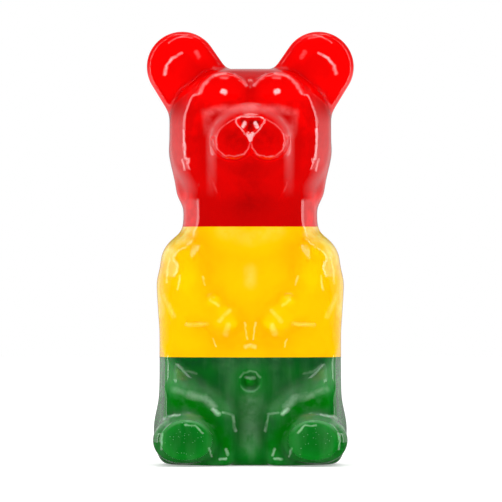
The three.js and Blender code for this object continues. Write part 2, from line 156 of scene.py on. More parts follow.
GREEN_PAINTED_HIGHLIGHTS = (
    # painted highlights and painted reflections on the hips, thighs and laps
    (1.2, 0.15, (39.7, 55.7), (35.5, 52.4), (29.9, 50.8)),
    (3.0, 0.2, (41.9, 42.4), (34, 39.6)),
    (3.6, 0.3, (34, 39.6), (25, 37.5), (20, 33)),
    (2.0, 0.7, (20.6, 31.6), (17.8, 28.8)),
    (7.5, 0.05, (38, 46), (22, 40), (12, 31)),
    (4.0, 0.35, (50.5, 57), (50.5, 40)),
    (1.2, 0.4, (15.4, 29.4), (9.9, 28.6), (8.2, 19.3)),
    (9.0, 0.13, (0, 36), (0, 12)),
    # painted highlights on the feet and soles
    (1.0, 0.5, (51.6, 20.4), (49.8, 24.6), (46.3, 27.3), (39.2, 28.4)),
    (0.9, 0.45, (36.0, 22.8), (30.1, 22.6), (26.2, 18.4)),
    (1.1, 0.5, (48.4, 18.2), (49.1, 14), (48.8, 9.6)),
    (0.9, 0.4, (22.6, 10.2), (21.5, 5.3)),
    (1.2, 0.7, (13.3, 9.2), (12.2, 6.2)),
    (1.2, 0.6, (17.0, 3.8), (13.4, 4.2)),
    # painted highlights at the navel
    (1.0, 0.2, (5.6, 49.2), (3.4, 51.8), (0, 52.8)),
    (1.4, 0.25, (0, 48.2), (2.4, 48.9)),
)
GREEN_PAINTED_LIGHT = (
    # painted light: brighter, purer green on the thighs, navel and soles, where light glows through
    (6.5, 1.3, (41.5, 35.9), (33, 35), (26, 30.5), (20, 22), (12.5, 11)),
    (5.5, 0.9, (0, 47), (1, 47)),
    (17, 0.35, (34, 12), (37, 12)),
)
GREEN_PAINTED_SHADE = (
    # painted shade: darker green along the top of the layer, and in the folds between belly and legs
    (6.5, 0.6, (0, 59), (40, 57)),
    (7.0, 0.5, (14, 54), (18, 45)),
    (6.0, 0.5, (36, 49), (28, 46)),
    (4.5, 0.45, (13, 25), (13, 16)),
)


class BearForm(bpy.types.PropertyGroup):
    """Sizes of the cast form"""

    height: FloatProperty(
        name="Height", description="From the seat to the top of the ears",
        default=CAD_BOX[1][2] - CAD_BOX[0][2], min=0.1, unit="LENGTH",
    )
    depth: FloatProperty(
        name="Depth", description="From the back to the soles",
        default=0.108, min=0.05, unit="LENGTH",
    )
    red_from: FloatProperty(
        name="Red from", description="Height at which the red layer starts",
        default=layer_edge(LAYER_NODES[0], LAYER_NODES[1]), unit="LENGTH",
    )
    yellow_from: FloatProperty(
        name="Yellow from", description="Height at which the yellow layer starts",
        default=layer_edge(LAYER_NODES[1], LAYER_NODES[2]), unit="LENGTH",
    )
    head_half_width: FloatProperty(
        name="Head half width", description="From the middle to the side of the head",
        default=0.045, unit="LENGTH",
    )
    neck_half_width: FloatProperty(
        name="Neck half width", description="From the middle to the side of the neck",
        default=0.0373, unit="LENGTH",
    )
    hip_half_width: FloatProperty(
        name="Hip half width", description="From the middle to the side of the hips",
        default=0.0504, unit="LENGTH",
    )
    ear_radius: FloatProperty(
        name="Ear radius", description="Radius of the round of an ear",
        default=0.0197, unit="LENGTH",
    )
    ear_offset: FloatProperty(
        name="Ear offset", description="From the middle to the centre of an ear",
        default=0.038, unit="LENGTH",
    )
    navel_radius: FloatProperty(
        name="Navel radius", description="Radius of the round navel",
        default=0.0061, unit="LENGTH",
    )
    sole_half_width: FloatProperty(
        name="Sole half width", description="Half of the width of a foot's sole",
        default=0.0184, unit="LENGTH",
    )
    cell: FloatProperty(
        name="Mesh cell", description="Edge of a cell of the grid that the surface is meshed on",
        default=0.00135, min=0.001, unit="LENGTH",
    )


class GelLook(bpy.types.PropertyGroup):
    """Colours of the three gels"""

    red: FloatVectorProperty(
        name="Red", description="Red gel where it is thick",
        default=linear("#c40000"), size=3, min=0, max=1, subtype="COLOR",
    )
    yellow: FloatVectorProperty(
        name="Yellow", description="Yellow gel where it is thick",
        default=linear("#ffc500"), size=3, min=0, max=1, subtype="COLOR",
    )
    green: FloatVectorProperty(
        name="Green", description="Green gel where it is thick",
        default=linear("#086018"), size=3, min=0, max=1, subtype="COLOR",
    )


class AirSpecks(bpy.types.PropertyGroup):
    """The fine air bubbles that were caught in the skin"""

    radius: FloatProperty(
        name="Radius", description="Radius of the largest speck",
        default=0.00027, unit="LENGTH",
    )
    density: FloatProperty(
        name="Density", description="Specks per square metre in the middle of a sole",
        default=200000,
    )
    seed: IntProperty(name="Seed", description="Which random scatter is drawn", default=7)


class Studio(bpy.types.PropertyGroup):
    """Camera and lights"""

    distance: FloatProperty(
        name="Camera distance", description="From the camera to the middle of the bear",
        default=5.0, unit="LENGTH",
    )
    field: FloatProperty(
        name="Field of view", description="Width that the camera sees at the middle of the bear",
        default=0.2793, unit="LENGTH",
    )


# ---------------- shapes, in millimetres
# A shape is a function of x, y and z arrays that is negative inside it.


def ellipsoid(centre, radii):
    def shape(x, y, z):
        u, v, w = ((p - c) / r for p, c, r in zip((x, y, z), centre, radii))
        reach = np.sqrt(u * u + v * v + w * w)
        slope = np.sqrt((u / radii[0]) ** 2 + (v / radii[1]) ** 2 + (w / radii[2]) ** 2) + 1e-9
        return reach * (reach - 1) / slope

    return shape


def rounded_block(centre, half, rounding):
    def shape(x, y, z):
        q = [abs(p - c) - h + rounding for p, c, h in zip((x, y, z), centre, half)]
        outside = np.sqrt(sum(np.maximum(side, 0) ** 2 for side in q))
        return outside + np.minimum(np.maximum(np.maximum(q[0], q[1]), q[2]), 0) - rounding

    return shape


def limb(start, end, start_radius, end_radius, deep=1.0):
    """A round-ended limb whose section is stretched front to back by the factor deep."""
    axis = [end[0] - start[0], (end[1] - start[1]) / deep, end[2] - start[2]]
    square = sum(part * part for part in axis)

    def shape(x, y, z):
        px, py, pz = x - start[0], (y - start[1]) / deep, z - start[2]
        t = np.clip((px * axis[0] + py * axis[1] + pz * axis[2]) / square, 0, 1)
        off = np.sqrt((px - t * axis[0]) ** 2 + (py - t * axis[1]) ** 2 + (pz - t * axis[2]) ** 2)
        return off - start_radius - t * (end_radius - start_radius)

    return shape


def soft_min(a, b, blend):
    """The lower of two distances, with their crease filled over a width of about blend."""
    h = np.maximum(blend - abs(a - b), 0) / blend
    return np.minimum(a, b) - h**3 * blend / 6


def join(shape, other, blend):
    return lambda x, y, z: soft_min(shape(x, y, z), other(x, y, z), blend)


def common(shape, other, blend):
    return lambda x, y, z: -soft_min(-shape(x, y, z), -other(x, y, z), blend)


def carve(shape, tool, blend):
    return lambda x, y, z: -soft_min(-shape(x, y, z), tool(x, y, z), blend)


def pair(shape):
    return lambda x, y, z: shape(abs(x), y, z)


def bead(shape, line, half_width, height):
    """Raises a smooth bead along a line, which is given as the distance from it.

    A height below zero draws a groove.
    """

    def beaded(x, y, z):
        across = np.clip(line(x, y, z) / half_width, 0, 1)
        return shape(x, y, z) - height * (1 - across * across) ** 2

    return beaded


class BearShape:
    """The bear's whole form; bear(x, y, z) is its distance."""

    def __init__(self, form):
        self.height = form.height / MM
        self.depth = form.depth / MM
        self.neck = form.neck_half_width / MM
        self.head = form.head_half_width / MM
        self.hip = form.hip_half_width / MM
        self.ear_radius = form.ear_radius / MM
        self.ear = (form.ear_offset / MM, self.height - self.ear_radius)
        self.navel = form.navel_radius / MM
        self.sole = (35.4, 14.2)
        self.sole_half = (form.sole_half_width / MM, 14.4)
        self.pad = (9.4, 180.3)
        self.muzzle_middle = 179.5
        bear = self.trunk()
        for add in (
            self.add_head, self.add_ears, self.add_muzzle, self.add_nose, self.add_brows,
            self.add_arms, self.add_belly, self.add_legs,
        ):
            bear = add(bear)
        self.shape = common(bear, lambda x, y, z: -z, 8)

    def __call__(self, x, y, z):
        return self.shape(x, y, z)

    def ahead(self, f):
        """The y of a point that lies f in front of the back."""
        return self.depth / 2 - f

    def trunk(self):
        lean = 0.1
        upright = rounded_block((0, self.ahead(43.5), 50), (self.hip, 40.5, 66), 26)
        chest = rounded_block((0, self.ahead(41.5), 98), (42.6, 40.5, 35), 35)
        neck = rounded_block((0, self.ahead(42), 150), (self.neck, 38.5, 60), 36)

        def hips(x, y, z):
            return upright(x, y + (40 - soft_min(z, 78, 40)) * lean, z)

        return join(join(hips, chest, 10), neck, 8)

    def add_head(self, body):
        skull = rounded_block((0, self.ahead(40), 183.3), (self.head, 39.5, 36.8), 31)
        face = rounded_block((0, self.ahead(61), 183.5), (35, 17, 32.5), 15)
        cheek = limb((31, self.ahead(44), 172), (28.3, self.ahead(43), 154.5), 12.6, 13)
        return join(join(join(body, skull, 13), face, 9), pair(cheek), 6)

    def add_ears(self, body):
        """Round ears: thick discs with a rounded rim and a shallow dish in front."""
        middle, half, rim = 34, 14.2, 6.5
        x0, z0 = self.ear
        outline = limb((x0, 0, z0), (22.8, 0, 198), self.ear_radius, self.ear_radius + 0.8)

        def ear(x, y, z):
            side = outline(x, 0 * y, z) + rim
            face = abs(y - self.ahead(middle)) - half + rim
            outside = np.hypot(np.maximum(side, 0), np.maximum(face, 0))
            return outside + np.minimum(np.maximum(side, face), 0) - rim

        dish = ellipsoid((x0 + 0.5, self.ahead(middle + half + 5), z0), (12.5, 7.2, 12.5))
        return carve(join(body, pair(ear), 5), pair(dish), 4)

    def muzzle_reach(self, x, z):
        """From the middle of the muzzle to its side, which is round above and upright below."""
        return np.hypot(x, np.maximum(z - self.muzzle_middle, 0) * 1.17)

    def add_muzzle(self, body):
        """A low round muzzle with sloping sides; its front runs down into the throat."""
        pad_x, pad_z = self.pad
        throat, groove = 174, self.ahead(74)
        pads = pair(ellipsoid((pad_x, self.ahead(83.8), pad_z), (11, 10.4, 11)))

        def side(x, y, z):
            reach = self.muzzle_reach(x, z) + 0.28 * np.maximum(172 - z, 0)
            run = 0.65 + 0.7 * np.clip((throat - z) / 16, 0, 1)
            slope = (reach - 24.3 + np.maximum(self.ahead(79) - y, 0) * run) / np.hypot(1, run)
            return np.maximum(slope, y - self.ahead(55))

        def front(x, y, z):
            above, below = np.maximum(z - self.muzzle_middle, 0) / 34, np.maximum(throat - z, 0)
            bulge = 24 * np.sqrt(np.maximum(1 - (x / 40) ** 2 - above * above, 0.05))
            return (self.ahead(70) - bulge + 0.62 * below * below / (below + 7) - y) * 0.93

        def mouth(x, y, z):
            edge = abs(np.hypot(abs(x) - pad_x, z - pad_z) - 11.3)
            return np.maximum(np.maximum(edge, z - 181), y - groove)

        def philtrum(x, y, z):
            return np.maximum(np.maximum(abs(x) + 0 * z, abs(z - 177) - 4), y - groove)

        muzzle = join(join(body, common(side, front, 6), 4), pads, 3)
        return bead(bead(muzzle, mouth, 1.5, -0.8), philtrum, 1.5, -0.8)

    def add_nose(self, body):
        front, back = self.ahead(97), self.ahead(80)

        def outline(x, z):
            side = (np.hypot(x, 1.4) - 0.4) * 0.659 - (z - 182.6) * 0.753
            triangle = -soft_min(193 - z, -side, 5)
            return -soft_min(-triangle, 8.4 - abs(x), 4)

        def button(x, y, z):
            return -soft_min(-outline(x, z), -np.maximum(front - y, y - back), 3)

        nostrils = pair(ellipsoid((3.6, self.ahead(98.2), 188.2), (2.4, 2.6, 2.6)))
        return carve(join(body, button, 1.5), nostrils, 1.2)

    def add_brows(self, body):
        dome = ellipsoid((15.2, self.ahead(74), 207), (14, 8.4, 11))
        brow = common(dome, lambda x, y, z: 200.5 - z, 12)
        return join(body, pair(brow), 4)

    def add_arms(self, body):
        shoulder = (33.4, self.ahead(50), 112)
        elbow = (35.1, self.ahead(52), 102)
        cuff = (33.2, self.ahead(52), 88)
        upper = limb(shoulder, elbow, 16.4, 15.7, 1.7)
        lower = limb(elbow, cuff, 15.7, 14.6, 1.7)
        forearm = ellipsoid((32.8, self.ahead(72), 102), (9.2, 12, 12.5))
        hand = limb((25, self.ahead(73), 89), (15.5, self.ahead(78), 81.5), 11, 9.5)
        arms = join(body, pair(join(upper, lower, 2)), 12)
        arms = join(join(arms, pair(forearm), 7), pair(hand), 8)
        for finger_x, finger_z in ((20.3, 90.5), (15.5, 85.5), (11.8, 79)):
            finger = ellipsoid((finger_x, self.ahead(83.4), finger_z), (5, 4, 4))
            arms = join(arms, pair(finger), 3)

        # A fine welt runs under each forearm, and a small hollow lies between the paws.
        def under(x, y, z):
            return np.maximum(np.hypot(np.maximum(abs(abs(x) - 30) - 5.5, 0), z - 78), y - self.ahead(70))

        hollow = limb((0, self.ahead(83.6), 79), (0, self.ahead(85.6), 70), 2.2, 4.6)
        return carve(bead(arms, under, 1.3, 0.9), hollow, 1)

    def add_belly(self, body):
        belly = ellipsoid((0, self.ahead(62), 44), (34, 30, 30))
        navel_height = 47

        def navel(x, y, z):
            r = np.hypot(x, z - navel_height)
            return -soft_min(self.navel - r, -(y - self.ahead(88.5) + 0.06 * r * r), 2)

        button = ellipsoid((0, self.ahead(88.1), navel_height), (3.3, 2.2, 3.3))
        return join(carve(join(body, belly, 9), navel, 1.6), button, 0.8)

    def add_legs(self, body):
        thigh = ellipsoid((34, self.ahead(60), 38), (13.4, 27, 17))
        block = rounded_block((27.9, self.ahead(62), 14), (19.6, 32, 23), 8)
        hip = ellipsoid((34, self.ahead(54), 19), (19.4, 45, 24))
        flatten = self.sole_half[1] / self.sole_half[0]
        start = (self.sole[0] - 0.8, self.ahead(70), 0)
        end = (self.sole[0], self.ahead(91.6), 0)
        rod = limb(start, end, 17, self.sole_half[0])

        def shin(x, y, z):
            return block(x, y, z - (x - 30) * 0.36 + np.minimum(self.ahead(94) - y, 0))

        def ankle(x, y, z):
            return rod(x, y, (z - self.sole[1]) / flatten) * flatten

        def tread(x, y, z):
            wide, high = 13.4, 10.7
            u, w = (x - self.sole[0] + 0.2) / wide, (z - self.sole[1] - 0.2) / high
            edge = (np.hypot(u, w) - 1) * high
            rise = y - self.ahead(self.depth)
            sloped = (edge - np.minimum(rise, 1.6)) * 0.707 + 0.6
            return -soft_min(-sloped, np.minimum(rise, self.ahead(90) - y), 1)

        foot = common(ankle, lambda x, y, z: self.ahead(self.depth + 0.2) - y, 7)
        legs = join(join(join(body, pair(thigh), 7), pair(shin), 5), pair(hip), 8)
        return join(join(legs, pair(foot), 4), pair(tread), 0.8)


# ---------------- meshing


def slope_of(shape, points, step=0.02):
    """The gradient of the distance at the points."""
    columns = []
    for axis in range(3):
        there, back = points.copy(), points.copy()
        there[:, axis] += step
        back[:, axis] -= step
        columns.append((shape(*there.T) - shape(*back.T)) / (2 * step))
    return np.stack(columns, axis=1)


def settle(shape, points, most, turns=4):
    """Moves points onto the surface along the slope of the distance."""
    for _ in range(turns):
        slope = slope_of(shape, points)
        steepness = np.maximum((slope**2).sum(axis=1), 0.05)
        move = np.clip(shape(*points.T) / steepness, -most, most)
        points = points - slope * move[:, None]
    return points


def surface_of(shape, low, high, cell):
    """Points and four-sided faces of the closed surface where the distance is zero.

    One point is made in each cell of a grid that the surface crosses, and one face
    round each grid edge that it crosses.
    """
    axes = [np.arange(a, b + cell, cell) for a, b in zip(low, high)]
    values = np.empty([len(axis) for axis in axes])
    for k, z in enumerate(axes[2]):
        values[:, :, k] = shape(axes[0][:, None], axes[1][None, :], np.full((1, 1), z))
    inside = values < 0
    counts = values.shape
    corners = [(c & 1, c >> 1 & 1, c >> 2) for c in range(8)]

    def shifted(array, corner):
        return array[tuple(slice(o, n - 1 + o) for o, n in zip(corner, array.shape))]

    held = sum(shifted(inside, corner).astype(np.int8) for corner in corners)
    cells = np.argwhere((held > 0) & (held < 8))
    at_corner = [values[tuple((cells + corner).T)] for corner in corners]
    total = np.zeros((len(cells), 3))
    crossings = np.zeros(len(cells))
    for a in range(8):
        for bit in (1, 2, 4):
            if a & bit:
                continue
            va, vb = at_corner[a], at_corner[a | bit]
            crossed = (va < 0) != (vb < 0)
            t = np.where(crossed, va / np.where(crossed, va - vb, 1), 0)
            start, end = np.array(corners[a]), np.array(corners[a | bit])
            total += crossed[:, None] * (start + t[:, None] * (end - start))
            crossings += crossed
    points = np.array(low) + (cells + total / crossings[:, None]) * cell

    number = np.full(counts, -1)
    number[tuple(cells.T)] = np.arange(len(cells))
    faces = []
    for axis in range(3):
        step, u, v = np.roll(np.eye(3, dtype=int), -axis, axis=0)
        ahead = inside[tuple(slice(o, None) for o in step)]
        here = inside[tuple(slice(0, n - o) for o, n in zip(step, counts))]
        nodes = np.argwhere(here != ahead)
        ring = [number[tuple((nodes - shift).T)] for shift in (u + v, v, 0 * u, u)]
        ring = np.stack(ring, axis=1)
        outward = inside[tuple(nodes.T)]
        faces.append(np.where(outward[:, None], ring, ring[:, ::-1]))
    return points, np.concatenate(faces)


def mesh_from(name, points, faces):
    mesh = bpy.data.meshes.new(name)
    mesh.vertices.add(len(points))
    mesh.vertices.foreach_set("co", points.astype(np.float32).ravel())
    mesh.loops.add(faces.size)
    mesh.loops.foreach_set("vertex_index", faces.astype(np.int32).ravel())
    mesh.polygons.add(len(faces))
    mesh.polygons.foreach_set("loop_start", np.arange(0, faces.size, faces.shape[1], dtype=np.int32))
    mesh.update(calc_edges=True)
    return mesh


def vertex_places(mesh):
    flat = np.empty(len(mesh.vertices) * 3, dtype=np.float32)
    mesh.vertices.foreach_get("co", flat)
    return flat.reshape(-1, 3).astype(float)


# Places whose relief is finer than a mesh cell, as (low corner, high corner) in x >= 0. Their edges
# are halved once, and those of the second table once more.
FINE_PLACES = (
    ((0, -60, 166), (24, -30, 213)),
    ((26, -60, 207), (50, 20, 236)),
    ((0, -60, 62), (38, -22, 97)),
    ((0, -60, 38), (9, -20, 56)),
    ((18, -60, 0), (53, -44, 29)),
)
FINEST_PLACES = (
    ((0, -60, 178), (11, -30, 197)),
    ((11, -60, 203), (20, -30, 210)),
    ((0, -60, 63), (5, -30, 70)),
)


def triangles_of(points, faces):
    """Splits four-sided faces along their shorter diagonals."""
    near = np.linalg.norm(points[faces[:, 0]] - points[faces[:, 2]], axis=1)
    far = np.linalg.norm(points[faces[:, 1]] - points[faces[:, 3]], axis=1)
    turned = np.where((near <= far)[:, None], faces, np.roll(faces, 1, axis=1))
    return np.concatenate([turned[:, [0, 1, 2]], turned[:, [0, 2, 3]]])


def halve_edges(points, triangles, places):
    """Halves the edges that lie in the places, and splits the triangles beside them to suit."""
    spot = abs(points * (1, 0, 0)) + points * (0, 1, 1)
    fine = np.zeros(len(points), dtype=bool)
    for low, high in places:
        fine |= ((spot > low) & (spot < high)).all(axis=1)
    sides = np.stack([triangles, np.roll(triangles, -1, axis=1)], axis=2)
    split = fine[sides].all(axis=2)
    edges, which = np.unique(np.sort(sides[split], axis=1), axis=0, return_inverse=True)
    middle = np.full(split.shape, -1)
    middle[split] = len(points) + which.ravel()
    pieces = [triangles[~split.any(axis=1)]]
    whole = split.all(axis=1)
    (a, b, c), (ab, bc, ca) = triangles[whole].T, middle[whole].T
    for corners in ((a, ab, ca), (ab, b, bc), (ca, bc, c), (ab, bc, ca)):
        pieces.append(np.stack(corners, axis=1))
    for turn in range(3):
        state = np.roll(split, -turn, axis=1)
        for pattern in ((True, False, False), (True, True, False)):
            those = (state == pattern).all(axis=1)
            a, b, c = np.roll(triangles, -turn, axis=1)[those].T
            ab, bc, _ = np.roll(middle, -turn, axis=1)[those].T
            parts = ((a, ab, c), (ab, bc, c), (ab, b, bc)) if pattern[1] else ((a, ab, c), (ab, b, c))
            pieces += [np.stack(corners, axis=1) for corners in parts]
    return np.concatenate([points, points[edges].mean(axis=1)]), np.concatenate(pieces)


def cut_at(mesh, heights, near=0.25):
    """Runs a loop of edges round the form at each height, then makes every face a triangle.

    Points that already lie near a height are moved to it, so that no sliver is cut.
    """
    work = bmesh.new()
    work.from_mesh(mesh)
    for height in heights:
        for vertex in work.verts:
            if abs(vertex.co.z - height) < near:
                vertex.co.z = height
        geometry = [*work.verts, *work.edges, *work.faces]
        bmesh.ops.bisect_plane(work, geom=geometry, dist=1e-3, plane_co=(0, 0, height), plane_no=(0, 0, 1))
    bmesh.ops.triangulate(work, faces=work.faces[:], quad_method="SHORT_EDGE")
    work.to_mesh(mesh)
    work.free()


# ---------------- node trees


def add_node(tree, kind, inputs=None, **settings):
    """Adds a node and gives back its outputs; each input is a value or the socket that feeds it."""
    node = tree.nodes.new(kind)
    for name, value in settings.items():
        setattr(node, name, value)
    for key, value in (inputs or {}).items():
        if isinstance(value, bpy.types.NodeSocket):
            tree.links.new(value, node.inputs[key])
        else:
            node.inputs[key].default_value = value
    return node.outputs


def empty_material(name):
    """A new material with no nodes, and its tree."""
    material = bpy.data.materials.new(name)
    material.use_nodes = True
    material.node_tree.nodes.clear()
    return material, material.node_tree


def shown(name, data):
    """A new object of the scene."""
    item = bpy.data.objects.new(name, data)
    bpy.context.scene.collection.objects.link(item)
    return item


def line_group():
    """How near a place lies to a short line: its strength fades to nothing over the half width."""
    tree = bpy.data.node_groups.new("line", "ShaderNodeTree")
    for name in ("Place", "Start", "End", "Half Width", "Strength"):
        kind = "Float" if name in ("Half Width", "Strength") else "Vector"
        tree.interface.new_socket(name, in_out="INPUT", socket_type="NodeSocket" + kind)
    tree.interface.new_socket("Strength", in_out="OUTPUT", socket_type="NodeSocketFloat")
    given = add_node(tree, "NodeGroupInput")
    along, offset = (
        add_node(tree, "ShaderNodeVectorMath", {0: given[end], 1: given["Start"]}, operation="SUBTRACT")[0]
        for end in ("End", "Place")
    )
    covered, length = (
        add_node(tree, "ShaderNodeVectorMath", {0: way, 1: along}, operation="DOT_PRODUCT")["Value"]
        for way in (offset, along)
    )
    part = add_node(tree, "ShaderNodeMath", {0: covered, 1: length}, operation="DIVIDE", use_clamp=True)[0]
    nearest = add_node(tree, "ShaderNodeVectorMath", {0: along, "Scale": part}, operation="SCALE")[0]
    distance = add_node(
        tree, "ShaderNodeVectorMath", {0: offset, 1: nearest}, operation="DISTANCE"
    )["Value"]
    fading = add_node(
        tree, "ShaderNodeMapRange",
        {"Value": distance, "From Min": 0.0, "From Max": given["Half Width"],
         "To Min": given["Strength"], "To Max": 0.0},
        interpolation_type="SMOOTHSTEP",
    )[0]
    add_node(tree, "NodeGroupOutput", {"Strength": fading})
    return tree


def lines(tree, group, place, table):
    """The greatest strength of all the lines of a table."""
    greatest = 0.0
    for half_width, strength, *points in table:
        for (x0, z0), (x1, z1) in zip(points, points[1:]):
            line = add_node(
                tree, "ShaderNodeGroup",
                {"Place": place, "Start": (x0 * MM, 0, z0 * MM), "End": (x1 * MM, 0, z1 * MM),
                 "Half Width": half_width * MM, "Strength": strength},
                node_tree=group,
            )
            greatest = add_node(tree, "ShaderNodeMath", {0: greatest, 1: line[0]}, operation="MAXIMUM")[0]
    return greatest


def mark_shares(tree, found, muzzle_sheen, tables):
    """How much of each table's colour shows, in front only and the same on the left and the right.

    The lines waver by about half a millimetre, and a noise of 5 mm breaks them up. The painted
    sheen round the muzzle adds its share.
    """
    place, waver, muzzle_sheen_strength = found["Object"], 0.0022, 0.13
    uneven = add_node(tree, "ShaderNodeTexNoise", {"Vector": place, "Scale": 1 / 0.005, "Detail": 3.0})
    away = add_node(tree, "ShaderNodeVectorMath", {0: place}, operation="ABSOLUTE")[0]
    moved = add_node(
        tree, "ShaderNodeVectorMath", {0: uneven["Color"], 1: (waver,) * 3, 2: away},
        operation="MULTIPLY_ADD",
    )[0]
    level = add_node(
        tree, "ShaderNodeVectorMath", {0: moved, 1: (1, 0, 1), 2: (-waver / 2, 0, -waver / 2)},
        operation="MULTIPLY_ADD",
    )[0]
    facing = add_node(tree, "ShaderNodeSeparateXYZ", {0: found["Normal"]})["Y"]
    in_front = add_node(
        tree, "ShaderNodeMapRange",
        {"Value": facing, "From Min": -0.3, "From Max": -0.05, "To Min": 1.0, "To Max": 0.0},
    )[0]
    broken = add_node(
        tree, "ShaderNodeMapRange",
        {"Value": uneven["Fac"], "From Min": 0.35, "From Max": 0.6, "To Min": 0.4, "To Max": 1.0},
    )[0]
    group = line_group()
    shares = []
    for table in tables:
        drawn = add_node(
            tree, "ShaderNodeMath", {0: lines(tree, group, level, table), 1: broken}, operation="MULTIPLY"
        )[0]
        # Each table's painted light, painted shade or painted highlights, with a little of the muzzle's
        # painted sheen.
        painted_share = add_node(
            tree, "ShaderNodeMath", {0: muzzle_sheen, 1: muzzle_sheen_strength, 2: drawn},
            operation="MULTIPLY_ADD", use_clamp=True,
        )[0]
        shares.append(add_node(tree, "ShaderNodeMath", {0: painted_share, 1: in_front}, operation="MULTIPLY")[0])
    return shares


def gel_material(name, colour, thin_glow_colour, crease_shading_colour, reach, depth, haze_and_sheen_share, marks):
    """Gelatine gel cast in a starch or silicone mould: it is clear and wet-looking, so light goes deep
    into it and comes back as a saturated glow, and its skin shines, with the faint waves of the
    mould. Its colour also holds painted light: thin parts are painted brighter as a painted glow,
    creases take a painted shade (a lighter red in the red gel, to lift their shade), and the marks
    on the front add painted highlights, painted reflections, painted light and painted shade."""
    material, tree = empty_material(name)
    found = add_node(tree, "ShaderNodeTexCoord")
    place = found["Object"]
    thin, crease, upward_sheen, muzzle_sheen = (
        add_node(tree, "ShaderNodeAttribute", attribute_name=share)["Fac"]
        for share in ("thin", "crease", "upward_sheen", "muzzle_sheen")
    )
    # Clouds about 25 mm across, where the colour stirred in unevenly, waves of the mould about 14 mm
    # long, and a fine grain of 1.2 mm. The clouds also dull the skin a little.
    clouds, waves, grain = (
        add_node(tree, "ShaderNodeTexNoise", {"Vector": place, "Scale": 1 / size, "Detail": detail})["Fac"]
        for size, detail in ((0.025, 3.0), (0.014, 1.0), (0.0012, 2.0))
    )
    swing, roughness = (
        add_node(
            tree, "ShaderNodeMapRange",
            {"Value": clouds, "From Min": 0.3, "From Max": 0.7, "To Min": low, "To Max": high},
        )[0]
        for low, high in ((0.93, 1.0), (0.03, 0.06))
    )

    # A milky haze: streaks of very fine air that rose through the gel, and a painted pale sheen, a painted
    # reflection, on faces that look up near edges.
    stretched = add_node(
        tree, "ShaderNodeVectorMath", {0: place, 1: (1 / 0.008, 1 / 0.02, 1 / 0.04)}, operation="MULTIPLY"
    )[0]
    streaks = add_node(
        tree, "ShaderNodeTexNoise", {"Vector": stretched, "Scale": 1.0, "Detail": 3.0}
    )["Fac"]
    rising = add_node(
        tree, "ShaderNodeMapRange", {"Value": streaks, "From Min": 0.42, "From Max": 0.7, "To Max": 0.28}
    )[0]
    # Faces that look up near edges add a painted pale sheen, a painted reflection, to the random streaks.
    air = add_node(tree, "ShaderNodeMath", {0: upward_sheen, 1: rising}, operation="ADD", use_clamp=True)[0]
    milky_haze_and_sheen = add_node(tree, "ShaderNodeMath", {0: air, 1: haze_and_sheen_share}, operation="MULTIPLY")[0]

    # Over the gel's colour go, in turn: a painted glow on thin parts, a painted shade in creases, the
    # milky haze with its painted sheen, and the tables' painted light, shade and highlights.
    mixed = (*colour, 1)
    marked = mark_shares(tree, found, muzzle_sheen, [table for table, _ in marks])
    # The milky grey-green is both the haze and the painted sheen.
    shades = (thin_glow_colour, crease_shading_colour, "#8fb79a", *(shade for _, shade in marks))
    for share, shade in zip((thin, crease, milky_haze_and_sheen, *marked), shades):
        mixed = add_node(
            tree, "ShaderNodeMix", {0: share, 6: mixed, 7: (*linear(shade), 1)}, data_type="RGBA"
        )[2]
    final = add_node(tree, "ShaderNodeVectorMath", {0: mixed, "Scale": swing}, operation="SCALE")[0]

    # The waves are about 0.05 mm high.
    wavy = add_node(tree, "ShaderNodeBump", {"Height": waves, "Strength": 0.27, "Distance": 0.0004})[0]
    grainy = add_node(
        tree, "ShaderNodeBump", {"Height": grain, "Strength": 0.12, "Distance": 0.00005, "Normal": wavy}
    )[0]
    shader = add_node(
        tree, "ShaderNodeBsdfPrincipled",
        {"Base Color": final, "Roughness": roughness, "Normal": grainy, "IOR": 1.45,
         "Subsurface Weight": 1.0, "Subsurface Radius": reach, "Subsurface Scale": depth},
    )[0]
    add_node(tree, "ShaderNodeOutputMaterial", {"Surface": shader})
    return material


# ---------------- operators


